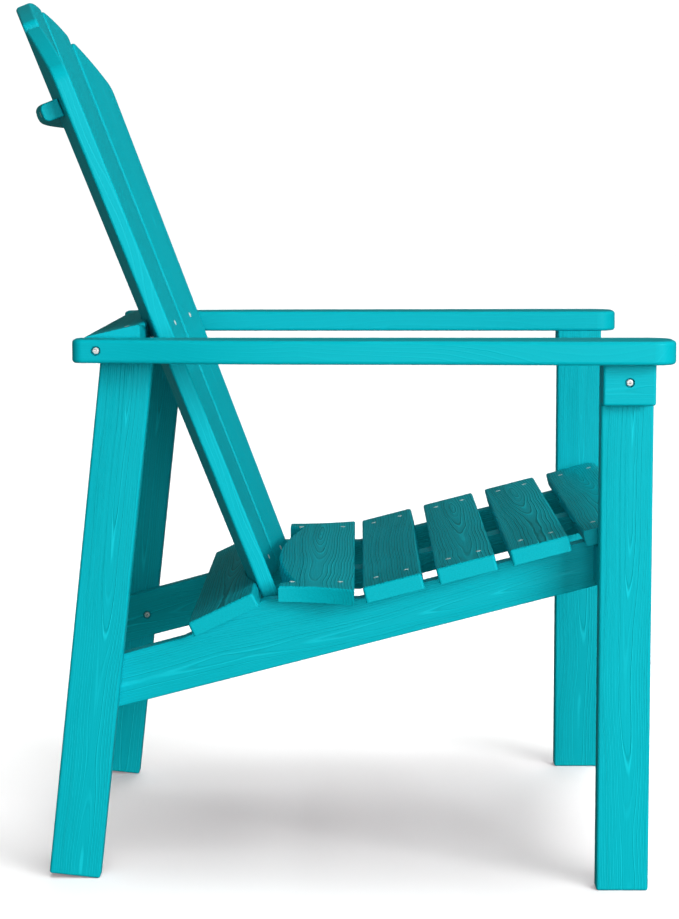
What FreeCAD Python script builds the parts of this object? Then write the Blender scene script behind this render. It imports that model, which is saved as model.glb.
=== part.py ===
import FreeCAD, Part
import math
import os

# Upright adirondack chair in millimetres.
# X is the chair's width, with the sitter's left at +X. The front faces -Y, and +Z is up.
# The origin is on the floor, under the middle of the chair's outline.

Vector = FreeCAD.Vector

# Stock sizes of the boards
board_width = 58.0          # legs, arm blocks and the wide part of the seat rails
leg_thickness = 26.0
rail_thickness = 24.0
slat_thickness = 18.0
edge_round = 3.0            # eased edges of sawn boards

# Front legs and arms
leg_outer_x = 323.0
leg_inner_x = leg_outer_x - leg_thickness
front_leg_y = -326.7
arm_top_z = 618.6
arm_thickness = 26.0
arm_underside_z = arm_top_z - arm_thickness
arm_rear_y = 282.1
arm_front_y = -375.9
arm_rear_x = 338.0          # outer edge of the arm at its rear end
arm_waist_x = 355.0         # outer edge behind the elbow
arm_front_x = 375.0         # outer edge at its widest, near the front
arm_edge_round = 4.0
arm_rear_corner = 12.0
arm_front_corner = 26.0
arm_block_thickness = 22.0
arm_block_height = 46.0

# Rear legs, which lean forward as they rise
rear_leg_lean = math.radians(6.26)
rear_leg_toe_y = 263.3      # the front corner of the foot, where the leg stands on the floor
rail_outer_x = 249.0
rail_inner_x = rail_outer_x - rail_thickness

# Seat rails and seat boards
seat_slope = math.radians(14.5)
seat_pivot_y = -150.6       # a point on the seat's underside plane
seat_pivot_z = 348.9
rail_depth = 52.2           # under the slats, square to the slope
rail_rear_depth = 59.0      # behind the ramp, square to the slope
ramp_slope = math.radians(25.5)
ramp_start_y = 167.3
rail_level_z = 318.6        # the level stretch that carries the rear seat board
crest_round = 40.0
rail_front_y = -347.9
rail_rear_inset = 8.0
seat_half_length = 291.0
front_slat_half_length = 288.0
slat_width = 67.6
first_slat_y = -35.8        # rear edge of the first sloping slat
slat_pitch = 82.1           # measured level, front to rear
front_slat_width = 70.5
front_slat_nose = 12.0
rear_board_front_y = -26.7
rear_board_rear_y = 58.9
rear_board_rear_half = 271.0    # the board's ends flare out to its front edge
rear_board_front_half = 298.0
ear_inner_x = 246.5
notch_x = 231.5
notch_depth = 16.5
rear_board_bulge = 1190.0   # radius of the bulging rear edge
apron_thickness = 18.0
apron_height = 55.0
apron_front_y = -350.0
apron_screw_drops = (28.0, 44.0)   # below the slats' underside
batten_width = 40.0
batten_depth = 24.0
batten_rear_y = 48.5
batten_front_y = -330.0

# Back: flat tapered slats, each one the middle slat turned about one upright axis
slat_count = 5
back_slat_thickness = 18.5
back_lean = math.radians(21.75)
back_foot_y = 93.6          # front face of the middle slat at back_foot_z
back_foot_z = 337.6
back_radius = 811.0         # from the front face of the middle slat to the upright axis
slat_turn = math.radians(5.88)
slat_gap_low = 6.0
slat_gap_high = 9.0
slat_low = -42.0            # lower end, measured along the slat from back_foot_z
slat_high = 718.0           # top of the middle slat
arch_radius = 425.0
slat_corner = 8.0
outer_corner = 25.0
axis_y = back_foot_y - back_radius

# Braces behind the back
brace_clearance = 1.05      # a round brace meets flat slats at their edges
arm_rail_tilt = math.radians(13.0)
arm_rail_rear_y = 273.1
arm_rail_front_y = 210.5
arm_rail_thickness = 26.0
low_brace_rear_y = 153.8
low_brace_width = 81.0
low_brace_thickness = 17.0
low_brace_half_length = 280.0
top_brace_height = 21.0
top_brace_depth = 22.5
top_brace_at = 584.5        # along the slats from back_foot_z
top_brace_turn = math.radians(12.8)
top_brace_round = 7.0
top_brace_end_round = 2.0

# Fasteners
screw_radius = 2.1
screw_head_radius = 3.6
screw_head_height = 2.6
screw_length = 40.0
batten_screw_length = 36.0
apron_screw_length = 50.0
rear_leg_screw_length = 60.0
arm_screw_length = 62.0
arm_screw_offset = 16.0     # in front of and behind the middle of the arm block
low_brace_screw_grip = 34.0  # wood that the head leaves below the brace
low_brace_screw_bite = 12.0
back_screw_low = -20.0      # along the slats from back_foot_z
back_screw_lift = 2.0       # middle row, above the level of the arms' top
screw_recess = 0.3
bolt_radius = 3.0
bolt_head_radius = 3.85
bolt_head_height = 6.0
bolt_recess_radius = 5.4
bolt_recess_depth = 6.8
insert_radius = 4.5
insert_length = 14.0
screw_x = 238.0
arm_level_drops = (7.0, 6.5, 1.0)  # how far below the line each screw sits, from the middle slat outwards
screw_inset = 16.6          # from a sloping slat's long edges
arm_bolt_y = 255.3
arm_bolt_z = 606.3
arm_bolt_length = 78.0
arm_bolt_inset = 0.5        # how far outside arm_rear_x the arm's edge stands at the bolt
block_bolt_length = 40.0
block_bolt_z = 571.9
rear_bolt_y = 248.8
rear_bolt_z = 220.3
rear_bolt_length = 44.0
front_bolt_z = 363.0
front_bolt_length = 92.0

SIDES = (("left", 1.0), ("right", -1.0))
nodes = {}


def seat_underside(y):
    """Height of the slats' underside plane at a given y."""
    return seat_pivot_z + (seat_pivot_y - y) * math.tan(seat_slope)


def wire_from(points):
    """A closed wire of straight edges."""
    return Part.makePolygon(points + [points[0]])


def plate_yz(outline, x_low, x_high):
    """A plate whose outline lies in the YZ plane, from x_low to x_high."""
    face = Part.Face(wire_from([Vector(x_low, y, z) for y, z in outline]))
    return face.extrude(Vector(x_high - x_low, 0, 0))


def ease(shape, radius, keep=None):
    """Round every edge, or those that keep(edge) accepts."""
    edges = [edge for edge in shape.Edges if keep is None or keep(edge)]
    return shape.makeFillet(radius, edges)


def runs_along_x(edge):
    """True for a straight edge parallel to X."""
    span = edge.BoundBox
    return span.YLength < 0.01 and span.ZLength < 0.01


def mirrored(shape):
    """The same shape on the other side of the chair."""
    return shape.mirror(Vector(0, 0, 0), Vector(1, 0, 0))


def add_pair(name, shape):
    """Add a left piece and its mirrored right one."""
    nodes[name + "_left"] = shape
    nodes[name + "_right"] = mirrored(shape)


def turned(shape, index):
    """Turn a shape made for the middle slat to the place of another slat."""
    copy = shape.copy()
    angle = math.degrees(index * slat_turn)
    copy.rotate(Vector(0, axis_y, 0), Vector(0, 0, 1), angle)
    return copy


def turned_point(point, index):
    """Turn a point about the back's upright axis."""
    angle = index * slat_turn
    x = point.x
    y = point.y - axis_y
    return Vector(x * math.cos(angle) - y * math.sin(angle),
                  axis_y + x * math.sin(angle) + y * math.cos(angle), point.z)


def on_back(along, behind, across=0.0):
    """A point on the middle slat: up it, behind its front face, and across it."""
    y = back_foot_y + along * math.sin(back_lean) + behind * math.cos(back_lean)
    z = back_foot_z + along * math.cos(back_lean) - behind * math.sin(back_lean)
    return Vector(across, y, z)


def make_front_leg():
    y_low = front_leg_y - board_width / 2
    leg = Part.makeBox(leg_thickness, board_width, arm_underside_z, Vector(leg_inner_x, y_low, 0))
    return ease(leg, edge_round, lambda edge: edge.BoundBox.ZMin < arm_underside_z - 1)


def make_rear_leg():
    lean = rear_leg_lean
    rail_under_z = arm_rail_height(arm_rail_rear_y) - arm_rail_thickness / math.cos(arm_rail_tilt)
    slope = math.tan(arm_rail_tilt)

    def top_of(start):
        """Follow the leg's edge from its foot up to the underside of the arm rail."""
        y, z = start
        rise = (rail_under_z + (arm_rail_rear_y - y) * slope - z)
        rise = rise / (math.cos(lean) - math.sin(lean) * slope)
        return (y - rise * math.sin(lean), z + rise * math.cos(lean))

    toe = (rear_leg_toe_y, edge_round * (1 - math.cos(lean) - math.sin(lean)))
    heel = (toe[0] + board_width * math.cos(lean), toe[1] + board_width * math.sin(lean))
    outline = [toe, heel, top_of(heel), top_of(toe)]
    leg = plate_yz(outline, rail_outer_x, rail_outer_x + leg_thickness)
    return ease(leg, edge_round, lambda edge: edge.BoundBox.ZMin < rail_under_z - 20)


def make_arm():
    outer = Part.BSplineCurve()
    outer.interpolate([Vector(arm_rear_x, arm_rear_y, 0),
                       Vector(arm_rear_x + 5, arm_rear_y - 60, 0),
                       Vector(arm_waist_x, arm_rear_y - 140, 0),
                       Vector((arm_waist_x + arm_front_x) / 2 + 2, arm_front_y + 270, 0),
                       Vector(arm_front_x, arm_front_y + 60, 0),
                       Vector(arm_front_x - 1, arm_front_y, 0)])
    rear = Part.LineSegment(Vector(leg_inner_x, arm_rear_y, 0), Vector(arm_rear_x, arm_rear_y, 0))
    front = Part.LineSegment(Vector(arm_front_x - 1, arm_front_y, 0), Vector(leg_inner_x, arm_front_y, 0))
    inner = Part.LineSegment(Vector(leg_inner_x, arm_front_y, 0), Vector(leg_inner_x, arm_rear_y, 0))
    outline = Part.Wire([rear.toShape(), outer.toShape(), front.toShape(), inner.toShape()])
    arm = Part.Face(outline).extrude(Vector(0, 0, arm_thickness))
    rear_uprights = [edge for edge in arm.Edges
                     if edge.BoundBox.ZLength > arm_thickness / 2 and edge.BoundBox.YMin > 0]
    arm = arm.makeFillet(arm_rear_corner, rear_uprights)
    front_uprights = [edge for edge in arm.Edges
                      if edge.BoundBox.ZLength > arm_thickness / 2 and edge.BoundBox.YMax < arm_front_y + 1]
    arm = arm.makeFillet(arm_front_corner, front_uprights)
    rims = [edge for edge in arm.Edges if edge.BoundBox.ZLength < 0.01]
    arm = arm.makeFillet(arm_edge_round, rims)
    arm.translate(Vector(0, 0, arm_underside_z))
    return arm


def make_arm_block():
    y_low = front_leg_y - board_width / 2
    base = Vector(leg_outer_x, y_low, arm_underside_z - arm_block_height)
    block = Part.makeBox(arm_block_thickness, board_width, arm_block_height, base)
    return ease(block, edge_round, lambda edge: edge.BoundBox.ZMin < arm_underside_z - 1)


def make_leg_spacer():
    y_low = front_leg_y - board_width / 2
    base = Vector(rail_outer_x, y_low, front_bolt_z - arm_block_height / 2)
    spacer = Part.makeBox(leg_inner_x - rail_outer_x, board_width, arm_block_height, base)
    return ease(spacer, edge_round, runs_along_x)


def rail_bottom(y):
    return seat_underside(y) - rail_depth / math.cos(seat_slope)


def ramp_height(y):
    """Height of the short ramp on the seat rails that carries the low brace."""
    low = rail_bottom(ramp_start_y) + rail_rear_depth / math.cos(seat_slope)
    return low + (ramp_start_y - y) * math.tan(ramp_slope)


def level_end():
    """Y where the slope of the slats meets the level stretch under the rear seat board."""
    return seat_pivot_y + (seat_pivot_z - rail_level_z) / math.tan(seat_slope)


def make_seat_rail():
    rear_rise = rail_rear_depth / math.cos(seat_slope)
    ramp_low_z = ramp_height(ramp_start_y)
    crest_y = ramp_start_y - (rail_level_z - ramp_low_z) / math.tan(ramp_slope)
    rear_y = rear_edge_of_leg(rear_bolt_z) - rail_rear_inset
    outline = [(rail_front_y, rail_bottom(rail_front_y)),
               (rear_y, rail_bottom(rear_y)),
               (rear_y - rear_rise * math.tan(rear_leg_lean), rail_bottom(rear_y) + rear_rise),
               (ramp_start_y, ramp_low_z),
               (crest_y, rail_level_z),
               (level_end(), rail_level_z),
               (rail_front_y, seat_underside(rail_front_y))]
    rail = plate_yz(outline, rail_inner_x, rail_outer_x)
    crest = [edge for edge in rail.Edges
             if runs_along_x(edge) and abs(edge.BoundBox.YMin - crest_y) < 0.1]
    rail = rail.makeFillet(crest_round, crest)
    long_edges = [edge for edge in rail.Edges if edge.BoundBox.XLength < 0.01
                  and abs(edge.BoundBox.ZMin - rail_level_z) > 0.01]
    return rail.makeFillet(edge_round / 2, long_edges)


def rear_edge_of_leg(z):
    """Y of the rear leg's rear edge at a given height."""
    heel_y = rear_leg_toe_y + board_width * math.cos(rear_leg_lean)
    heel_z = board_width * math.sin(rear_leg_lean)
    return heel_y - (z - heel_z) * math.tan(rear_leg_lean)


def make_seat_batten():
    level_end_y = level_end()
    drop = batten_depth / math.cos(seat_slope)
    outline = [(batten_front_y, seat_underside(batten_front_y) - drop),
               (level_end_y, rail_level_z - drop),
               (batten_rear_y, rail_level_z - drop),
               (batten_rear_y, rail_level_z),
               (level_end_y, rail_level_z),
               (batten_front_y, seat_underside(batten_front_y))]
    return plate_yz(outline, -batten_width / 2, batten_width / 2)


def make_slat(rear_y, width, half_length, nose=0.0):
    """A seat slat that lies on the slope, with its rear edge at rear_y."""
    slat = Part.makeBox(2 * half_length, width, slat_thickness, Vector(-half_length, -width, 0))
    if nose:
        front = [edge for edge in slat.Edges if runs_along_x(edge) and edge.BoundBox.YMax < 1 - width
                 and edge.BoundBox.ZMin > 1]
        slat = slat.makeFillet(nose, front)
        slat = slat.makeFillet(edge_round, [edge for edge in slat.Edges
                                            if edge.BoundBox.YMin > -1 and runs_along_x(edge)])
    else:
        slat = ease(slat, edge_round, lambda edge: edge.BoundBox.ZMax > 1)
    slat.rotate(Vector(0, 0, 0), Vector(1, 0, 0), -math.degrees(seat_slope))
    lift = -slat_thickness * math.sin(seat_slope)
    slat.translate(Vector(0, rear_y + lift, seat_underside(rear_y + lift)))
    return slat


def make_rear_seat_board():
    """The rearmost seat board: two ears, two notches and a bulging edge that follows the back."""
    low = rail_level_z
    notch_y = rear_board_rear_y - notch_depth
    bulge = rear_board_bulge - math.sqrt(rear_board_bulge ** 2 - notch_x ** 2)
    run = rear_board_rear_y - rear_board_front_y
    flare = rear_board_front_half - rear_board_rear_half
    flare_radius = (run ** 2 + flare ** 2) / (2 * flare)
    half_turn = math.asin(run / flare_radius) / 2
    mid_x = rear_board_rear_half + flare_radius * (1 - math.cos(half_turn))
    mid_y = rear_board_rear_y - flare_radius * math.sin(half_turn)

    def half_outline(sign):
        """The notch, the ear and the flared end on one side, from the notch to the front edge."""
        ear = Vector(sign * ear_inner_x, rear_board_rear_y, low)
        rear = Vector(sign * rear_board_rear_half, rear_board_rear_y, low)
        front = Vector(sign * rear_board_front_half, rear_board_front_y, low)
        notch_side = Part.makePolygon([Vector(sign * notch_x, notch_y, low), ear, rear])
        end = Part.Arc(rear, Vector(sign * mid_x, mid_y, low), front).toShape()
        return notch_side.Edges + [end]

    front_edge = Part.makeLine(Vector(rear_board_front_half, rear_board_front_y, low),
                               Vector(-rear_board_front_half, rear_board_front_y, low))
    rear_edge = Part.Arc(Vector(-notch_x, notch_y, low), Vector(0, notch_y + bulge, low),
                         Vector(notch_x, notch_y, low)).toShape()
    edges = half_outline(1) + [front_edge] + half_outline(-1) + [rear_edge]
    outline = Part.Wire(Part.__sortEdges__(edges))
    board = Part.Face(outline).extrude(Vector(0, 0, slat_thickness))
    top = low + slat_thickness
    rims = [edge for edge in board.Edges if edge.BoundBox.ZMin > top - 0.01]
    return board.makeFillet(edge_round, rims)


def make_front_apron():
    """The board that ties the front ends of the seat rails, under the front slat."""
    rear_y = apron_front_y + apron_thickness
    top_front = seat_underside(apron_front_y)
    outline = [(apron_front_y, top_front - apron_height),
               (rear_y, top_front - apron_height),
               (rear_y, seat_underside(rear_y)),
               (apron_front_y, top_front)]
    apron = plate_yz(outline, -rail_inner_x, rail_inner_x)
    return ease(apron, edge_round / 2,
                lambda edge: runs_along_x(edge) and edge.BoundBox.ZMax < top_front - apron_height / 2)


def slat_half_width(along):
    """Half the width of a back slat, which leaves a nearly even gap to its neighbours."""
    pitch = (back_radius + along * math.sin(back_lean)) * slat_turn
    gap = slat_gap_low + (slat_gap_high - slat_gap_low) * along / slat_high
    return (pitch - gap) / 2


def make_back_slat(index):
    """A tapered slat with the part of the back's arch that belongs to it."""
    low = slat_half_width(slat_low)
    high = slat_half_width(slat_high)
    outline = [(-low, slat_low), (low, slat_low), (high, slat_high), (-high, slat_high)]
    slat = Part.Face(wire_from([Vector(x, 0, z) for x, z in outline])).extrude(
        Vector(0, back_slat_thickness, 0))
    pitch = (back_radius + slat_high * math.sin(back_lean)) * slat_turn
    centre = Vector(index * pitch, -1, slat_high - arch_radius)
    arch = Part.makeCylinder(arch_radius, back_slat_thickness + 2, centre, Vector(0, 1, 0))
    below = Part.makeBox(400, 60, slat_high - arch_radius - slat_low, Vector(-200, -20, slat_low))
    slat = slat.common(arch.fuse(below))
    slat = slat.removeSplitter()
    corners = [edge for edge in slat.Edges if edge.BoundBox.ZLength < 0.01
               and edge.BoundBox.YLength > 1 and edge.BoundBox.ZMin > slat_high / 2]
    if abs(index) == slat_count // 2:
        lowest = min(corners, key=lambda edge: edge.BoundBox.ZMin)
        others = [edge for edge in corners if not edge.isSame(lowest)]
        slat = slat.makeFillet(slat_corner, others)
        corners = [edge for edge in slat.Edges if edge.BoundBox.ZLength < 0.01
                   and abs(edge.BoundBox.ZMin - lowest.BoundBox.ZMin) < 0.01]
        slat = slat.makeFillet(outer_corner, corners)
    else:
        slat = slat.makeFillet(slat_corner, corners)
    rims = [edge for edge in slat.Edges if edge.BoundBox.YLength < 0.01]
    slat = slat.makeFillet(edge_round, rims)
    slat.rotate(Vector(0, 0, 0), Vector(1, 0, 0), -math.degrees(back_lean))
    slat.translate(Vector(0, back_foot_y, back_foot_z))
    return turned(slat, index)


def back_envelope():
    """Everything in front of the cone that the braces' front edges are cut to."""
    depth = back_slat_thickness + brace_clearance
    low = on_back(-150, depth)
    high = on_back(800, depth)
    outline = [Vector(0, axis_y, low.z), low, high, Vector(0, axis_y, high.z)]
    half = Part.Face(wire_from(outline))
    return half.revolve(Vector(0, axis_y, 0), Vector(0, 0, 1), 360)


def arm_rail_height(y):
    """Height of the arm rail's top face at a given y."""
    return arm_top_z + (arm_rail_rear_y - y) * math.tan(arm_rail_tilt)


def make_arm_rail():
    drop = arm_rail_thickness / math.cos(arm_rail_tilt)
    outline = [(arm_rail_rear_y, arm_rail_height(arm_rail_rear_y)),
               (arm_rail_rear_y, arm_rail_height(arm_rail_rear_y) - drop),
               (arm_rail_front_y, arm_rail_height(arm_rail_front_y) - drop),
               (arm_rail_front_y, arm_rail_height(arm_rail_front_y))]
    rail = plate_yz(outline, -leg_inner_x, leg_inner_x)
    rail = ease(rail, edge_round, runs_along_x)
    return rail.cut(back_envelope())


def make_low_brace():
    brace = Part.makeBox(2 * low_brace_half_length, low_brace_width, low_brace_thickness,
                         Vector(-low_brace_half_length, -low_brace_width, 0))
    brace = ease(brace, edge_round, lambda edge: edge.BoundBox.ZMax > 1)
    brace.rotate(Vector(0, 0, 0), Vector(1, 0, 0), -math.degrees(ramp_slope))
    brace.translate(Vector(0, low_brace_rear_y, ramp_height(low_brace_rear_y)))
    return brace.cut(back_envelope())


def make_top_brace():
    front = back_slat_thickness + brace_clearance
    low = top_brace_at - top_brace_height / 2
    high = top_brace_at + top_brace_height / 2
    outline = [on_back(low, front), on_back(low, front + top_brace_depth),
               on_back(high, front + top_brace_depth), on_back(high, front)]
    face = Part.Face(wire_from(outline))
    face.rotate(Vector(0, axis_y, 0), Vector(0, 0, 1), -math.degrees(top_brace_turn))
    brace = face.revolve(Vector(0, axis_y, 0), Vector(0, 0, 1), 2 * math.degrees(top_brace_turn))
    long_edges = [edge for edge in brace.Edges if edge.Length > 10 * top_brace_depth]
    long_edges.sort(key=lambda edge: edge.BoundBox.YMax)
    brace = brace.makeFillet(top_brace_round, long_edges[-2:])
    ends = [edge for edge in brace.Edges if edge.Length < 3 * top_brace_depth]
    return brace.makeFillet(top_brace_end_round, ends)


def drill(names, tool):
    """Cut the same hole through every named board."""
    for name in names:
        nodes[name] = nodes[name].cut(tool)


def screw_shapes(head, direction, length=screw_length):
    """A countersunk screw and its hole. direction points out of the wood at the head."""
    inward = direction.normalize() * -1.0
    hole = Part.makeCylinder(screw_head_radius, screw_head_height + screw_recess,
                             head - inward * 1.0, inward)
    seat = head + inward * (screw_recess + screw_head_height - 1.0)
    shank = Part.makeCylinder(screw_radius, length - screw_head_height, seat, inward)
    screw_head = Part.makeCylinder(screw_head_radius, screw_head_height - 1.0,
                                   head + inward * screw_recess, inward)
    hole = hole.fuse(shank)
    return screw_head.fuse(shank).removeSplitter(), hole


def drive_screws(name, places, length=screw_length):
    """Place screws, drill their boards, and keep them together in one node."""
    screws = []
    for head, direction, boards in places:
        screw, hole = screw_shapes(head, direction, length)
        drill(boards, hole)
        screws.append(screw)
    nodes[name] = Part.makeCompound(screws)


def seat_screw_places():
    """Two screws at each end of each seat board, square to the board."""
    places = []
    for y in (rear_board_rear_y - 15.0, rear_board_front_y + 16.0):
        for side, sign in SIDES:
            head = Vector(sign * screw_x, y, rail_level_z + slat_thickness)
            places.append((head, Vector(0, 0, 1), ["seat_board_rear", "seat_rail_" + side]))
    normal = Vector(0, math.sin(seat_slope), math.cos(seat_slope))
    for name, rear_y, width in sloping_slats():
        middle = rear_y - width / 2 * math.cos(seat_slope)
        spread = width / 2 - screw_inset
        for offset in (-spread, spread):
            y = middle + offset
            top = seat_underside(y) + slat_thickness / math.cos(seat_slope)
            for side, sign in SIDES:
                head = Vector(sign * screw_x, y, top)
                places.append((head, Vector(normal), [name, "seat_rail_" + side]))
    return places


def sloping_slats():
    """Name, rear edge and width of each board on the slope."""
    rows = []
    for index in range(3):
        rows.append(("seat_slat_%d" % (index + 2), first_slat_y - index * slat_pitch, slat_width))
    rows.append(("seat_slat_front", first_slat_y - 3 * slat_pitch, front_slat_width))
    return rows


def batten_screw_places():
    """One screw up through the batten into each seat board."""
    places = []
    drop = batten_depth / math.cos(seat_slope)
    y = (rear_board_front_y + rear_board_rear_y) / 2
    places.append((Vector(0, y, rail_level_z - drop), Vector(0, 0, -1),
                   ["seat_batten", "seat_board_rear"]))
    normal = Vector(0, -math.sin(seat_slope), -math.cos(seat_slope))
    for name, rear_y, width in sloping_slats():
        middle = rear_y - width / 2 * math.cos(seat_slope)
        head = Vector(0, middle, seat_underside(middle) - drop)
        places.append((head, Vector(normal), ["seat_batten", name]))
    return places


def back_screw_places(along, board, drops=(0.0, 0.0, 0.0)):
    """One screw through each back slat into the brace behind it."""
    places = []
    for index in slat_indexes():
        height = along - drops[abs(index)]
        head = turned_point(on_back(height, 0), index)
        tip = turned_point(on_back(height, -1), index)
        places.append((head, tip - head, ["back_slat_%d" % (index + 3), board]))
    return places


def top_brace_screw_places():
    """One screw from behind through the top brace into each slat."""
    places = []
    depth = back_slat_thickness + brace_clearance + top_brace_depth
    for index in slat_indexes():
        head = turned_point(on_back(top_brace_at, depth), index)
        tip = turned_point(on_back(top_brace_at, depth + 1), index)
        places.append((head, tip - head, ["top_brace", "back_slat_%d" % (index + 3)]))
    return places


def slat_indexes():
    """Slat 1 is at the sitter's left and slat 5 at the sitter's right."""
    half = slat_count // 2
    return range(-half, half + 1)


def bolt_pair(name, outer_x, y, z, length, boards, inward_x):
    """A bolt on each side, along X. inward_x is -1 when it is driven towards the middle."""
    bolts = []
    for side, sign in SIDES:
        inward = Vector(sign * inward_x, 0, 0)
        mouth = Vector(sign * outer_x, y, z)
        recess = Part.makeCylinder(bolt_recess_radius, bolt_recess_depth + 5, mouth - inward * 5, inward)
        floor = mouth + inward * bolt_recess_depth
        shank = Part.makeCylinder(bolt_radius, length - bolt_recess_depth, floor, inward)
        head_top = floor - inward * bolt_head_height
        head = Part.makeCylinder(bolt_head_radius, bolt_head_height, head_top, inward)
        for board in boards:
            drill([board.replace("SIDE", side)], recess.fuse(shank))
        bolts.append(head.fuse(shank).removeSplitter())
    nodes[name] = Part.makeCompound(bolts)


def nut_pair(name, end_x, y, z, length, boards, inward_x):
    """A threaded sleeve round the end of each bolt."""
    sleeves = []
    for side, sign in SIDES:
        back = Vector(-sign * inward_x, 0, 0)
        end = Vector(sign * end_x, y, z)
        outer = Part.makeCylinder(insert_radius, length, end, back)
        inner = Part.makeCylinder(bolt_radius, length, end, back)
        for board in boards:
            drill([board.replace("SIDE", side)], outer)
        sleeves.append(outer.cut(inner))
    nodes[name] = Part.makeCompound(sleeves)


def build_boards():
    add_pair("front_leg", make_front_leg())
    add_pair("rear_leg", make_rear_leg())
    add_pair("arm", make_arm())
    add_pair("arm_block", make_arm_block())
    add_pair("leg_spacer", make_leg_spacer())
    add_pair("seat_rail", make_seat_rail())
    nodes["seat_batten"] = make_seat_batten()
    nodes["front_apron"] = make_front_apron()
    nodes["seat_board_rear"] = make_rear_seat_board()
    for name, rear_y, width in sloping_slats():
        is_front = name == "seat_slat_front"
        half = front_slat_half_length if is_front else seat_half_length
        nodes[name] = make_slat(rear_y, width, half, front_slat_nose if is_front else 0.0)
    for index in slat_indexes():
        nodes["back_slat_%d" % (index + 3)] = make_back_slat(index)
    nodes["arm_rail"] = make_arm_rail()
    nodes["low_brace"] = make_low_brace()
    nodes["top_brace"] = make_top_brace()


def build_screws():
    drive_screws("seat_screws", seat_screw_places())
    drive_screws("batten_screws", batten_screw_places(), batten_screw_length)
    drive_screws("apron_screws", apron_screw_places(), apron_screw_length)
    arm_rail_mid = (arm_top_z + back_screw_lift - back_foot_z) / math.cos(back_lean)
    drive_screws("back_screws_middle", back_screw_places(arm_rail_mid, "arm_rail", arm_level_drops))
    drive_screws("back_screws_low", back_screw_places(back_screw_low, "low_brace"))
    drive_screws("back_screws_top", top_brace_screw_places())
    drive_screws("rear_leg_screws", rear_leg_screw_places(), rear_leg_screw_length)
    drive_screws("arm_screws", arm_screw_places(), arm_screw_length)
    drive_low_brace_screws()


def build_bolts():
    bolt_pair("arm_bolts", arm_rear_x + arm_bolt_inset, arm_bolt_y, arm_bolt_z, arm_bolt_length,
              ["arm_SIDE", "arm_rail"], -1)
    block_face_x = leg_outer_x + arm_block_thickness
    bolt_pair("arm_block_bolts", block_face_x, front_leg_y, block_bolt_z, block_bolt_length,
              ["arm_block_SIDE", "front_leg_SIDE"], -1)
    nut_pair("arm_block_inserts", block_face_x - block_bolt_length, front_leg_y, block_bolt_z,
             insert_length, ["front_leg_SIDE"], -1)
    bolt_pair("rear_leg_bolts", rail_inner_x, rear_bolt_y, rear_bolt_z, rear_bolt_length,
              ["seat_rail_SIDE", "rear_leg_SIDE"], 1)
    nut_pair("rear_leg_inserts", rail_inner_x + rear_bolt_length, rear_bolt_y, rear_bolt_z,
             insert_length, ["rear_leg_SIDE"], 1)
    bolt_pair("front_leg_bolts", rail_inner_x, front_leg_y, front_bolt_z, front_bolt_length,
              ["seat_rail_SIDE", "leg_spacer_SIDE", "front_leg_SIDE"], 1)
    nut_pair("front_leg_inserts", rail_inner_x + front_bolt_length, front_leg_y, front_bolt_z,
             insert_length, ["front_leg_SIDE"], 1)


def rear_leg_screw_places():
    """One screw down through the arm rail into the top of each rear leg."""
    y = rear_edge_of_leg(arm_underside_z) - board_width / 2
    up = Vector(0, math.sin(arm_rail_tilt), math.cos(arm_rail_tilt))
    x = rail_outer_x + leg_thickness / 2
    return [(Vector(sign * x, y, arm_rail_height(y)), Vector(up), ["arm_rail", "rear_leg_" + side])
            for side, sign in SIDES]


def arm_screw_places():
    """Two screws up through each arm block into the arm."""
    places = []
    x = leg_outer_x + arm_block_thickness / 2
    for side, sign in SIDES:
        for offset in (-arm_screw_offset, arm_screw_offset):
            head = Vector(sign * x, front_leg_y + offset, arm_underside_z - arm_block_height)
            places.append((head, Vector(0, 0, -1), ["arm_block_" + side, "arm_" + side]))
    return places


def apron_screw_places():
    """Two screws through each seat rail into the end of the apron."""
    places = []
    y = apron_front_y + apron_thickness / 2
    for side, sign in SIDES:
        for below in apron_screw_drops:
            head = Vector(sign * rail_outer_x, y, seat_underside(y) - below)
            places.append((head, Vector(sign, 0, 0), ["seat_rail_" + side, "front_apron"]))
    return places


def drive_low_brace_screws():
    """A long screw up through each seat rail into the end of the low brace."""
    y = low_brace_rear_y - low_brace_width / 2
    head_z = ramp_height(y) - low_brace_screw_grip
    screws = []
    for side, sign in SIDES:
        head = Vector(sign * screw_x, y, head_z)
        screw, hole = screw_shapes(head, Vector(0, 0, -1), low_brace_screw_grip + low_brace_screw_bite)
        depth = head_z - rail_bottom(y) + 1.0
        bore = Part.makeCylinder(screw_head_radius, depth, head, Vector(0, 0, -1))
        drill(["seat_rail_" + side, "low_brace"], hole)
        drill(["seat_rail_" + side], bore)
        screws.append(screw)
    nodes["low_brace_screws"] = Part.makeCompound(screws)


def export_nodes():
    os.makedirs("parts", exist_ok=True)
    for name, shape in nodes.items():
        shape.exportStep("parts/%s.step" % name)


build_boards()
build_screws()
build_bolts()
export_nodes()
box = Part.makeCompound(list(nodes.values())).BoundBox
print("nodes", len(nodes), "size", box.XLength, box.YLength, box.ZLength)
print("centre", box.Center.x, box.Center.y, "floor", box.ZMin)
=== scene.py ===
import math
from collections import namedtuple

import bmesh
import bpy
from mathutils import Euler, Matrix, Vector


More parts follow.
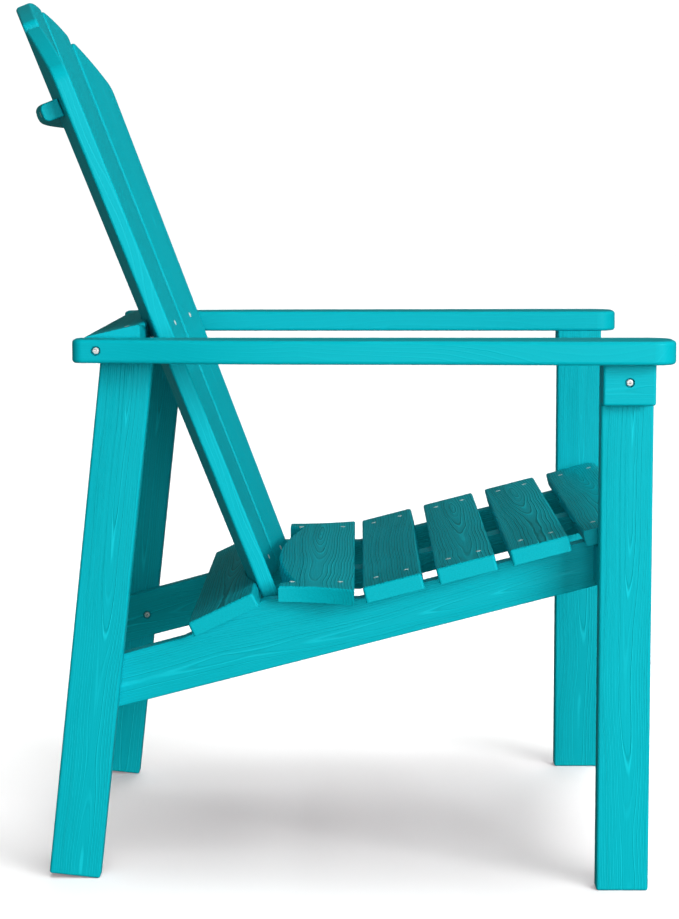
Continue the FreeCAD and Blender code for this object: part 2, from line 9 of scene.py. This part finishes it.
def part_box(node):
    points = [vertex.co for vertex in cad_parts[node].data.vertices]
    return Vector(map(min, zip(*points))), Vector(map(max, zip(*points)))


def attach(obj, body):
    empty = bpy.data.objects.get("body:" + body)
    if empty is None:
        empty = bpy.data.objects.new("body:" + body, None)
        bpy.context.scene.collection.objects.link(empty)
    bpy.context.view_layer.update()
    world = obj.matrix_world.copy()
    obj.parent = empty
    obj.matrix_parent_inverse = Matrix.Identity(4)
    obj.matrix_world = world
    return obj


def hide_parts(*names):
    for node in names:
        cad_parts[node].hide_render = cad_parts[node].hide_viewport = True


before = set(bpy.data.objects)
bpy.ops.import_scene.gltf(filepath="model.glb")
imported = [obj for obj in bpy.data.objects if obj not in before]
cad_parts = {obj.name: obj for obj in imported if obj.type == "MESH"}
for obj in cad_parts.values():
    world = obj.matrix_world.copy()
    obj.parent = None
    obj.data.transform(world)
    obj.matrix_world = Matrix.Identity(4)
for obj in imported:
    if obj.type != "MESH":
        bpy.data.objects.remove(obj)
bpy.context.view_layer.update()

# Turquoise adirondack chair. The boards are the CAD nodes, each with a painted wood-grain material
# laid along its own length. The screws and bolts are detailed pieces that stand on the CAD's places.
# Everything is in metres, in the CAD's frame: +X is the sitter's left, -Y the front, +Z up.

# Slopes of the boards, as in the CAD source
SEAT_SLOPE = math.radians(14.5)
RAMP_SLOPE = math.radians(25.5)
BACK_LEAN = math.radians(21.75)
REAR_LEG_LEAN = math.radians(6.26)
ARM_RAIL_TILT = math.radians(13.0)
SLAT_TURN = math.radians(5.88)

# Directions of a board's own axes before it is tilted: X runs along it and Z through its thickness
UPRIGHT = Matrix(((0, 0, 1), (0, 1, 0), (-1, 0, 0)))
FRONT_TO_BACK = Matrix(((0, -1, 0), (1, 0, 0), (0, 0, 1)))
ON_EDGE = Matrix(((0, 0, 1), (1, 0, 0), (0, 1, 0)))
UP_THE_BACK = Matrix(((0, 1, 0), (0, 0, 1), (1, 0, 0)))

# Paint
PAINT = (0.0015, 0.47, 0.56)
PAINT_GROOVE_SHADE = (0.001, 0.27, 0.31)        # painted shade in the grooves of the grain
PAINT_RIDGE_HIGHLIGHT = (0.010, 0.67, 0.78)       # painted highlight on its ridges
PAINT_SHEEN = (0.2, 0.95, 1.0, 1)
PAINT_IOR = 1.46
PAINT_SPECULAR = 0.25
PAINT_ROUGHNESS = 0.32
ROUGHNESS_RANGE = 0.16

# Grain, in metres
GRAIN_SPACING = 0.0024
SLAT_SPACING = 0.0032
GRAIN_DEPTH = 0.0009
FIBRE = 0.24                # height of the fine fibres, against 1 from groove to ridge
FAINTEST_RING = 0.25        # height of the faintest ring, against 1 for the boldest
RING_WOBBLE = 0.0026
PATCH_CONTRAST = 2.6        # how sharply patches of strong grain give way to smooth ones
PATCH_LEVEL = -0.25
PITH_SWAY = 0.022           # how far the tree's centre line strays sideways
PITH_LEVEL = 0.005          # it sinks no further than this, and the grain beyond runs straight
# Where that centre line runs under a board: sideways offset, depth, slope and how far it strays up
STRAIGHT_GRAIN = (0.09, 0.02, 0.03, 0.022)
ARCHED_GRAIN = (0.003, 0.001, -0.058, 0.009)
LEG_GRAIN = (0.004, 0.021, 0.026, 0.014)
SLAT_GRAIN = (0.0, 0.02, 0.01, 0.022)
ARM_GRAIN = (0.01, 0.02, 0.01, 0.022)
STRAIGHT_BOARDS = ("front_apron", "seat_slat_2", "arm_rail", "top_brace")
# Across one ring: how far across, and the height there. 0.5 is level
THIN_RING = ((0.36, 0.5), (0.46, 0.26), (0.64, 1.0), (0.86, 0.5))
BROAD_RING = ((0.30, 0.46), (0.45, 0.0), (0.60, 1.0), (0.84, 0.60))
# How strong the grain is on each kind of board, in its bumps and in its painted shade in the grooves and
# painted highlight on the ridges
LEG_STRENGTH = 0.85
ARM_STRENGTH = 0.2
BLOCK_STRENGTH = 0.25
SPACER_STRENGTH = 0.4
BACK_STRENGTH = 0.45
SEAT_STRENGTH = 1.50
# Noise scales along, across and through a board
SWAY_SCALE = (3.2, 1.0, 1.0)
RISE_SCALE = (4.5, 0.8, 0.8)
WOBBLE_SCALE = (9.0, 45.0, 45.0)
PATCH_SCALE = (6.0, 28.0, 28.0)
FIBRE_SCALE = (20.0, 640.0, 640.0)

# Fasteners. shank and proud are in metres, and the rest is in radii of the head. Each point of a head's
# outline has its radius, its share of proud and its height.
Kind = namedtuple("Kind", "shank proud mouth lobes depth outline neck")
BOLT = Kind(shank=0.003, proud=0.0006, mouth=0.5, lobes=6, depth=1.1, neck=-0.62,
            outline=((0.78, 1, 0), (0.92, 1, -0.10), (0.985, 1, -0.28), (1.0, 0, -0.6)))
SCREW = Kind(shank=0.0021, proud=0.0007, mouth=0.46, lobes=4, depth=0.35, neck=-0.7,
             outline=((0.8, 1, -0.02), (0.95, 0.45, 0), (0.97, 0, 0), (0.93, 0, -0.15)))
SOCKET_WALL = ((1.0, 0.0), (0.93, 0.15), (0.88, 1.0))   # width against the mouth, and depth
SOCKET_POINT = 1.15
SOCKET_LOBE = 0.16
HEAD_FIT = 0.96             # the detailed head's radius, against the CAD head's
SHANK_END = 0.96            # where the point starts, against the length
SIDES = 36
SPIN_STEP = 0.9             # each head is turned a little further than the one before
SHARP_ANGLE = math.radians(38)
END_BAND = 0.0005           # points this close to an end belong to its rim
STEEL_METALLIC = 0.2
GRIME_SCALE = 420.0
GRIME_TINT = (0.55, 0.56, 0.55)

# Light on the floor, which throws the soft shadow under the chair
FLOOR_LIGHT_TILTS = (-46, -33, -20, -7, 6, 19, 32, 44)
FLOOR_LIGHT_SPREAD = math.radians(26)
FLOOR_LIGHT_LEAN = math.radians(7)
FLOOR_LIGHT = 3.2
FLOOR_GLOW = (1, 0.5, 0.56, 1)      # evens out the blue-green that the studio throws on the floor
FLOOR_GLOW_STRENGTH = 0.2
SURROUND_GLOW = 1.05
STAGE_REACH = 30.0

# Soft lights on the chair: name, place, width and height, power
LAMPS = (("key", (-5.5, -4.5, 2.3), (3.8, 3.0), 425),
         ("fill", (-6.6, -0.5, 0.9), (2.4, 1.8), 122),
         ("top", (-0.6, -1.4, 5.0), (3.0, 3.0), 34))
LAMP_TARGET = (0, 0, 0.5)
STUDIO_BELOW = (0.18, 0.62, 0.57, 1)
STUDIO_HORIZON = (0.07, 0.22, 0.20, 1)
STUDIO_ABOVE = (0.35, 0.95, 0.86, 1)
STUDIO_STRENGTH = 0.22

# Camera
CAMERA_PLACE = (-3.1240, -0.0324, 0.7834)
CAMERA_YAW, CAMERA_PITCH, CAMERA_ROLL = -0.0078, 0.1059, -0.0005
CAMERA_LENS = 100.26
SENSOR_HEIGHT = 36.0


def middle_of(node):
    """Centre of a CAD node's box."""
    low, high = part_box(node)
    return (Vector(low) + Vector(high)) / 2


class Nodes:
    """Adds and links shader nodes in one tree."""

    def __init__(self, tree):
        self.tree = tree
        tree.nodes.clear()

    def add(self, kind, **settings):
        node = self.tree.nodes.new(kind)
        for name, value in settings.items():
            setattr(node, name, value)
        return node

    def link(self, source, target):
        """Link an output to an input."""
        self.tree.links.new(source, target)

    def math(self, operation, first, second=None, third=None, clamp=False):
        """A math node. Each value is a number or a socket."""
        node = self.tree.nodes.new("ShaderNodeMath")
        node.operation = operation
        node.use_clamp = clamp
        for socket, value in zip(node.inputs, (first, second, third)):
            if value is None:
                continue
            if isinstance(value, (int, float)):
                socket.default_value = value
            else:
                self.link(value, socket)
        return node.outputs[0]

    def scaled(self, vector, scale):
        """A vector times a fixed vector."""
        node = self.tree.nodes.new("ShaderNodeVectorMath")
        node.operation = "MULTIPLY"
        node.inputs[1].default_value = scale
        self.link(vector, node.inputs[0])
        return node.outputs[0]

    def noise(self, vector, scale, detail=2.0, roughness=0.5):
        """Noise from 0 to 1 at a vector."""
        node = self.add("ShaderNodeTexNoise")
        node.inputs["Scale"].default_value = scale
        node.inputs["Detail"].default_value = detail
        node.inputs["Roughness"].default_value = roughness
        self.link(vector, node.inputs["Vector"])
        return node.outputs["Fac"]


def ring_profile(nodes, phase, shape):
    """Height across one growth ring, with a groove and then a ridge. 0.5 is level."""
    ramp = nodes.add("ShaderNodeValToRGB")
    ramp.color_ramp.interpolation = "EASE"
    stops = ramp.color_ramp.elements
    stops[0].position = 0.0
    stops[1].position = 1.0
    for stop in (stops[0], stops[1]):
        stop.color = (0.5, 0.5, 0.5, 1)
    for position, value in shape:
        stop = stops.new(position)
        stop.color = (value, value, value, 1)
    nodes.link(phase, ramp.inputs[0])
    return ramp.outputs[0]


def grain_lines(nodes, place, moved, seed, pith, spacing, shape):
    """Growth rings cut by the board's faces: fine lines along X that close into long narrow arches.

    place is the position in the board's own axes, X along the board and Z through its thickness.
    moved is the same position in a part of the noise that is the board's own.
    pith is (sideways offset, depth, slope, rise) of the tree's centre line, in metres.
    Returns the height, from -0.5 in a groove to 0.5 on a ridge.
    """
    split = nodes.add("ShaderNodeSeparateXYZ")
    nodes.link(place, split.inputs[0])
    x, y, z = split.outputs
    sway = nodes.noise(nodes.scaled(moved, SWAY_SCALE), 1.0, 2.0)
    rise = nodes.noise(nodes.scaled(moved, RISE_SCALE), 1.0, 1.0)
    wobble = nodes.noise(nodes.scaled(moved, WOBBLE_SCALE), 1.0, 3.0)
    side, depth, slope, climb = pith
    across = nodes.math("ADD", y, nodes.math("MULTIPLY_ADD", sway, PITH_SWAY, side - PITH_SWAY / 2))
    sinking = nodes.math("SMOOTH_MIN", nodes.math("MULTIPLY", x, slope), PITH_LEVEL, PITH_LEVEL)
    below = nodes.math("ADD", nodes.math("ADD", z, depth - climb / 2), sinking)
    below = nodes.math("MULTIPLY_ADD", rise, climb, below)
    square = nodes.math("ADD", nodes.math("MULTIPLY", across, across),
                        nodes.math("MULTIPLY", below, below))
    radius = nodes.math("MULTIPLY_ADD", wobble, RING_WOBBLE, nodes.math("SQRT", square))
    ring = nodes.math("DIVIDE", radius, spacing)
    profile = ring_profile(nodes, nodes.math("FRACT", ring), shape)
    chance = nodes.add("ShaderNodeTexWhiteNoise", noise_dimensions="1D")
    nodes.link(nodes.math("ADD", nodes.math("FLOOR", ring), seed), chance.inputs["W"])
    boldness = nodes.math("MULTIPLY_ADD", chance.outputs["Value"], 1 - FAINTEST_RING, FAINTEST_RING)
    return nodes.math("MULTIPLY", nodes.math("SUBTRACT", profile, 0.5), boldness)


def shifted(nodes, place, seed):
    """The board's position moved to a part of the noise that no other board uses."""
    offset = nodes.add("ShaderNodeVectorMath", operation="ADD")
    offset.inputs[1].default_value = (seed * 1.37, seed * 0.71, seed * 0.43)
    nodes.link(place, offset.inputs[0])
    return offset.outputs[0]


def sideness(nodes, turn):
    """1 on a board's long faces and 0 on its sawn ends, which carry no lines."""
    surface = nodes.add("ShaderNodeNewGeometry")
    facing = nodes.add("ShaderNodeVectorMath", operation="DOT_PRODUCT")
    facing.inputs[1].default_value = turn.to_matrix() @ Vector((1, 0, 0))
    nodes.link(surface.outputs["Normal"], facing.inputs[0])
    endness = nodes.math("ABSOLUTE", facing.outputs["Value"])
    return nodes.math("SUBTRACT", 1.0, nodes.math("MULTIPLY", endness, endness), clamp=True)


def paint(name, centre, turn, seed, pith=LEG_GRAIN, strength=LEG_STRENGTH, spacing=GRAIN_SPACING,
          shape=THIN_RING):
    """Satin turquoise paint over embossed grain along a board's length, with painted shade in the grooves and
    a painted highlight on the ridges.
    """
    material = bpy.data.materials.new("paint_" + name)
    material.use_nodes = True
    nodes = Nodes(material.node_tree)
    position = nodes.add("ShaderNodeTexCoord")
    board = nodes.add("ShaderNodeMapping", vector_type="TEXTURE")
    board.inputs["Location"].default_value = centre
    board.inputs["Rotation"].default_value = turn
    nodes.link(position.outputs["Object"], board.inputs[0])
    place = board.outputs[0]
    moved = shifted(nodes, place, seed)
    lines = grain_lines(nodes, place, moved, seed, pith, spacing, shape)
    patch = nodes.noise(nodes.scaled(moved, PATCH_SCALE), 1.0, 2.0)
    worn = nodes.math("MULTIPLY_ADD", patch, PATCH_CONTRAST, PATCH_LEVEL, clamp=True)
    lines = nodes.math("MULTIPLY", lines, nodes.math("MULTIPLY", worn, sideness(nodes, turn)))
    fine = nodes.noise(nodes.scaled(moved, FIBRE_SCALE), 1.0, 2.0, 0.6)
    fibre = nodes.math("MULTIPLY_ADD", fine, FIBRE, -FIBRE / 2)

    height = nodes.math("ADD", lines, fibre)
    # The grain's height also sets the colour: painted shade in the grooves and a painted highlight on the
    # ridges
    relief_shade_and_highlight = nodes.math("MULTIPLY_ADD", height, strength, 0.5, clamp=True)
    colour = nodes.add("ShaderNodeValToRGB")
    stops = colour.color_ramp.elements
    stops[0].position = 0.0
    stops[0].color = (*PAINT_GROOVE_SHADE, 1)
    stops[1].position = 1.0
    stops[1].color = (*PAINT_RIDGE_HIGHLIGHT, 1)
    stops.new(0.5).color = (*PAINT, 1)
    nodes.link(relief_shade_and_highlight, colour.inputs[0])

    bump = nodes.add("ShaderNodeBump")
    bump.inputs["Distance"].default_value = GRAIN_DEPTH * strength
    nodes.link(height, bump.inputs["Height"])

    shader = nodes.add("ShaderNodeBsdfPrincipled")
    shader.inputs["IOR"].default_value = PAINT_IOR
    shader.inputs["Specular IOR Level"].default_value = PAINT_SPECULAR
    shader.inputs["Specular Tint"].default_value = PAINT_SHEEN
    nodes.link(colour.outputs[0], shader.inputs["Base Color"])
    roughness = nodes.math("MULTIPLY_ADD", fine, ROUGHNESS_RANGE, PAINT_ROUGHNESS)
    nodes.link(roughness, shader.inputs["Roughness"])
    nodes.link(bump.outputs[0], shader.inputs["Normal"])
    output = nodes.add("ShaderNodeOutputMaterial")
    nodes.link(shader.outputs[0], output.inputs["Surface"])
    return material


def give(node, material):
    """Put one material on a carried-over CAD node."""
    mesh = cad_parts[node].data
    mesh.materials.clear()
    mesh.materials.append(material)


def steel(name, tint, rough):
    """Pale steel, cloudy with grime."""
    material = bpy.data.materials.new(name)
    material.use_nodes = True
    nodes = Nodes(material.node_tree)
    position = nodes.add("ShaderNodeTexCoord")
    grime = nodes.noise(position.outputs["Object"], GRIME_SCALE, 3.0)
    colour = nodes.add("ShaderNodeMix", data_type="RGBA")
    colour.inputs["A"].default_value = (*tint, 1)
    dirty = [channel * share for channel, share in zip(tint, GRIME_TINT)]
    colour.inputs["B"].default_value = (*dirty, 1)
    nodes.link(nodes.math("POWER", grime, 2.0), colour.inputs["Factor"])
    shader = nodes.add("ShaderNodeBsdfPrincipled")
    shader.inputs["Metallic"].default_value = STEEL_METALLIC
    nodes.link(colour.outputs["Result"], shader.inputs["Base Color"])
    nodes.link(nodes.math("MULTIPLY_ADD", grime, 0.3, rough), shader.inputs["Roughness"])
    output = nodes.add("ShaderNodeOutputMaterial")
    nodes.link(shader.outputs[0], output.inputs["Surface"])
    return material


def paint_boards():
    """Every board gets its own grain, along its own length."""
    for number, side in enumerate(("left", "right")):
        seed = 3.0 + 11.0 * number
        # Each row: board, its axes before it tilts, its tilt, the noise it uses, its rings and their strength
        rows = (("front_leg_", UPRIGHT, 0.0, 0, LEG_GRAIN, LEG_STRENGTH),
                ("rear_leg_", UPRIGHT, -REAR_LEG_LEAN, 1, LEG_GRAIN, LEG_STRENGTH),
                ("arm_", FRONT_TO_BACK, 0.0, 3, ARM_GRAIN, ARM_STRENGTH),
                ("seat_rail_", ON_EDGE, SEAT_SLOPE, 5, LEG_GRAIN, LEG_STRENGTH),
                ("arm_block_", ON_EDGE, 0.0, 6, LEG_GRAIN, BLOCK_STRENGTH),
                ("leg_spacer_", ON_EDGE, 0.0, 7, LEG_GRAIN, SPACER_STRENGTH))
        for board, axes, tilt, step, pith, strength in rows:
            node = board + side
            turn = (Matrix.Rotation(-tilt, 3, "X") @ axes).to_euler()
            give(node, paint(node, middle_of(node), turn, seed + step, pith, strength))
    slopes = {"front_apron": 0.0, "seat_board_rear": 0.0, "seat_slat_2": -SEAT_SLOPE,
              "seat_slat_3": -SEAT_SLOPE, "seat_slat_4": -SEAT_SLOPE, "seat_slat_front": -SEAT_SLOPE,
              "arm_rail": -ARM_RAIL_TILT, "low_brace": -RAMP_SLOPE, "top_brace": -BACK_LEAN}
    for index, (board, slope) in enumerate(slopes.items()):
        pith = STRAIGHT_GRAIN if board in STRAIGHT_BOARDS else ARCHED_GRAIN
        give(board, paint(board, middle_of(board), Euler((slope, 0, 0)), 40.0 + 3.1 * index, pith,
                          SEAT_STRENGTH, SLAT_SPACING, BROAD_RING))
    batten_turn = (Matrix.Rotation(-SEAT_SLOPE, 3, "X") @ FRONT_TO_BACK).to_euler()
    give("seat_batten", paint("seat_batten", middle_of("seat_batten"), batten_turn, 70.0))
    for number in range(1, 6):
        node = "back_slat_%d" % number
        turn = Matrix.Rotation((number - 3) * SLAT_TURN, 3, "Z") @ Matrix.Rotation(-BACK_LEAN, 3, "X")
        give(node, paint(node, middle_of(node), (turn @ UP_THE_BACK).to_euler(), 80.0 + 2.3 * number,
                         SLAT_GRAIN, BACK_STRENGTH))


def islands(node):
    """The separate solids of a CAD node, each as its list of corner points, with no point twice."""
    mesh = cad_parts[node].data
    corners = {}
    parent = []
    index_of = []
    for vertex in mesh.vertices:
        key = tuple(round(value, 5) for value in vertex.co)
        if key not in corners:
            corners[key] = len(parent)
            parent.append(len(parent))
        index_of.append(corners[key])

    def root(index):
        while parent[index] != index:
            index = parent[index]
        return index

    for edge in mesh.edges:
        first, second = (root(index_of[vertex]) for vertex in edge.vertices)
        parent[first] = second
    groups = {}
    for key, index in corners.items():
        groups.setdefault(root(index), []).append(Vector(key))
    return list(groups.values())


def average(points):
    """The middle of some points."""
    return sum(points, Vector()) / len(points)


def axis_and_head(points):
    """A fastener's outward axis, the centre of its head's top, its head's radius and its length."""
    far = max(points, key=lambda point: (point - points[0]).length)
    other = max(points, key=lambda point: (point - far).length)
    middle = (far + other) / 2
    rough = far - other
    one_end = [point for point in points if (point - middle).dot(rough) > 0]
    other_end = [point for point in points if (point - middle).dot(rough) <= 0]
    axis = (average(one_end) - average(other_end)).normalized()

    def rim(side):
        """The outermost ring of points on one end, and its centre."""
        reach = max((point - middle).dot(axis) * side for point in points)
        ring = [point for point in points if (point - middle).dot(axis) * side > reach - END_BAND]
        centre = average(ring)
        return centre, max((point - centre).length for point in ring)

    ends = {side: rim(side) for side in (1, -1)}
    side = 1 if ends[1][1] > ends[-1][1] else -1
    head, radius = ends[side]
    return axis * side, head, radius, (head - ends[-side][0]).length


def join_rings(builder, rings, sides):
    """Skin neighbouring rings of points. A ring of one point closes the skin."""
    for upper, lower in zip(rings, rings[1:]):
        for step in range(sides):
            after = (step + 1) % sides
            corners = [upper[step % len(upper)], lower[step % len(lower)],
                       lower[after % len(lower)], upper[after % len(upper)]]
            unique = list(dict.fromkeys(corners))
            builder.faces.new(unique)


def ring(builder, matrix, radius, height, lobes=0):
    """One ring of points round the axis. Lobes make its radius swell and shrink that many times."""
    points = []
    for step in range(SIDES):
        angle = 2 * math.pi * step / SIDES
        reach = radius * (1.0 + SOCKET_LOBE * math.cos(lobes * angle)) if lobes else radius
        points.append(builder.verts.new(
            matrix @ Vector((reach * math.cos(angle), reach * math.sin(angle), height))))
    return points


def tip(builder, matrix, height):
    """A ring of one point, on the axis."""
    return [builder.verts.new(matrix @ Vector((0, 0, height)))]


def fastener(builder, matrix, head_radius, length, kind):
    """One screw or bolt whose head faces +Z of the matrix, with the CAD head's top at height 0.

    Its skin runs from the bottom of the drive socket, over the head and down the shank to the point.
    """
    depth = head_radius * kind.depth
    rings = [ring(builder, matrix, head_radius * kind.mouth * width, kind.proud - depth * sunk, kind.lobes)
             for width, sunk in SOCKET_WALL]
    rings.append(tip(builder, matrix, kind.proud - depth * SOCKET_POINT))
    rings.reverse()
    for radius, share, height in kind.outline:
        rings.append(ring(builder, matrix, head_radius * radius, kind.proud * share + head_radius * height))
    rings.append(ring(builder, matrix, kind.shank, head_radius * kind.neck))
    rings.append(ring(builder, matrix, kind.shank, -length * SHANK_END))
    rings.append(tip(builder, matrix, -length))
    join_rings(builder, rings, SIDES)


def detailed_fasteners(node, material, is_bolt):
    """Build one piece of detailed screws or bolts in the places of a CAD node's plain ones."""
    builder = bmesh.new()
    for number, points in enumerate(islands(node)):
        axis, head, radius, length = axis_and_head(points)
        spin = Matrix.Rotation(number * SPIN_STEP, 4, "Z")
        matrix = Matrix.Translation(head) @ axis.to_track_quat("Z", "Y").to_matrix().to_4x4() @ spin
        fastener(builder, matrix, radius * HEAD_FIT, length, BOLT if is_bolt else SCREW)
    bmesh.ops.recalc_face_normals(builder, faces=builder.faces)
    mesh = bpy.data.meshes.new("detailed_" + node)
    builder.to_mesh(mesh)
    builder.free()
    mesh.materials.append(material)
    for face in mesh.polygons:
        face.use_smooth = True
    mesh.set_sharp_from_angle(angle=SHARP_ANGLE)
    piece = bpy.data.objects.new("detailed_" + node, mesh)
    bpy.context.scene.collection.objects.link(piece)
    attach(piece, "root")
    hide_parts(node)


def fit_fasteners():
    """Screws and bolts with drive sockets, and the plain threaded inserts."""
    screw = steel("screw_steel", (0.96, 0.97, 0.97), 0.28)
    bolt = steel("bolt_steel", (0.99, 0.94, 0.94), 0.25)
    for node in list(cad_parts):
        if "screws" in node:
            detailed_fasteners(node, screw, False)
        elif node.endswith("bolts"):
            detailed_fasteners(node, bolt, True)
        elif node.endswith("inserts"):
            give(node, bolt)


def plain_sheet(name, corners, material):
    """A flat stage sheet that the camera sees, and that throws no light on the chair."""
    mesh = bpy.data.meshes.new(name)
    mesh.from_pydata(corners, [], [(0, 1, 2, 3)])
    mesh.materials.append(material)
    sheet = bpy.data.objects.new(name, mesh)
    sheet.visible_diffuse = False
    sheet.visible_glossy = False
    bpy.context.scene.collection.objects.link(sheet)
    return sheet


def make_stage():
    """A plain pale floor and a white surround."""
    pale = bpy.data.materials.new("pale_floor")
    pale.use_nodes = True
    shader = pale.node_tree.nodes["Principled BSDF"]
    shader.inputs["Base Color"].default_value = (0.9, 0.9, 0.9, 1)
    shader.inputs["Roughness"].default_value = 0.9
    shader.inputs["Specular IOR Level"].default_value = 0.0
    shader.inputs["Emission Color"].default_value = FLOOR_GLOW
    shader.inputs["Emission Strength"].default_value = FLOOR_GLOW_STRENGTH
    reach = STAGE_REACH
    floor = plain_sheet("floor", [(-reach, -reach, 0), (reach, -reach, 0), (reach, reach, 0),
                                  (-reach, reach, 0)], pale)
    white = bpy.data.materials.new("white_surround")
    white.use_nodes = True
    nodes = Nodes(white.node_tree)
    glow = nodes.add("ShaderNodeEmission")
    glow.inputs["Strength"].default_value = SURROUND_GLOW
    output = nodes.add("ShaderNodeOutputMaterial")
    nodes.link(glow.outputs[0], output.inputs["Surface"])
    mesh = bpy.data.meshes.new("surround")
    dome = bmesh.new()
    bmesh.ops.create_icosphere(dome, subdivisions=4, radius=reach * 0.9)
    dome.to_mesh(mesh)
    dome.free()
    mesh.materials.append(white)
    surround = bpy.data.objects.new("surround", mesh)
    surround.visible_diffuse = False
    surround.visible_glossy = False
    surround.visible_shadow = False
    bpy.context.scene.collection.objects.link(surround)
    return floor


def area_light(name, place, size, power):
    """A rectangular soft light on the chair."""
    data = bpy.data.lights.new(name, "AREA")
    data.shape = "RECTANGLE"
    data.size, data.size_y = size
    data.energy = power
    lamp = bpy.data.objects.new(name, data)
    lamp.location = place
    lamp.rotation_euler = (Vector(LAMP_TARGET) - Vector(place)).to_track_quat("-Z", "Y").to_euler()
    bpy.context.scene.collection.objects.link(lamp)


def make_light(floor):
    """Soft lamps from the camera's side and the front, a weak studio, and light for the floor alone."""
    world = bpy.data.worlds.new("studio")
    bpy.context.scene.world = world
    world.use_nodes = True
    background = world.node_tree.nodes["Background"]
    direction = world.node_tree.nodes.new("ShaderNodeTexCoord")
    split = world.node_tree.nodes.new("ShaderNodeSeparateXYZ")
    ramp = world.node_tree.nodes.new("ShaderNodeValToRGB")
    ramp.color_ramp.elements[0].position = 0.0
    ramp.color_ramp.elements[0].color = STUDIO_BELOW
    ramp.color_ramp.elements.new(0.03).color = STUDIO_HORIZON
    ramp.color_ramp.elements[2].position = 0.25
    ramp.color_ramp.elements[2].color = STUDIO_ABOVE
    world.node_tree.links.new(direction.outputs["Generated"], split.inputs[0])
    world.node_tree.links.new(split.outputs["Z"], ramp.inputs[0])
    world.node_tree.links.new(ramp.outputs[0], background.inputs["Color"])
    background.inputs["Strength"].default_value = STUDIO_STRENGTH
    for lamp in LAMPS:
        area_light(*lamp)
    floor_only = bpy.data.collections.new("floor_light")
    floor_only.objects.link(floor)
    for tilt in FLOOR_LIGHT_TILTS:
        data = bpy.data.lights.new("floor_sun", "SUN")
        data.angle = FLOOR_LIGHT_SPREAD
        data.energy = FLOOR_LIGHT / len(FLOOR_LIGHT_TILTS)
        sun = bpy.data.objects.new("floor_sun", data)
        sun.rotation_euler = (FLOOR_LIGHT_LEAN, -math.radians(tilt), 0)
        sun.light_linking.receiver_collection = floor_only
        bpy.context.scene.collection.objects.link(sun)


def make_camera():
    """A long lens from the chair's right side, a little above the arms."""
    data = bpy.data.cameras.new("camera")
    data.sensor_fit = "VERTICAL"
    data.sensor_height = SENSOR_HEIGHT
    data.lens = CAMERA_LENS
    camera = bpy.data.objects.new("camera", data)
    camera.location = CAMERA_PLACE
    yaw, pitch, roll = CAMERA_YAW, CAMERA_PITCH, CAMERA_ROLL
    forward = Vector((math.cos(pitch) * math.cos(yaw), -math.cos(pitch) * math.sin(yaw), -math.sin(pitch)))
    camera.rotation_euler = (forward.to_track_quat("-Z", "Y").to_matrix()
                             @ Matrix.Rotation(roll, 3, "Z")).to_euler()
    bpy.context.scene.collection.objects.link(camera)
    bpy.context.scene.camera = camera


paint_boards()
fit_fasteners()
make_light(make_stage())
make_camera()
bpy.context.scene.view_settings.view_transform = "Standard"
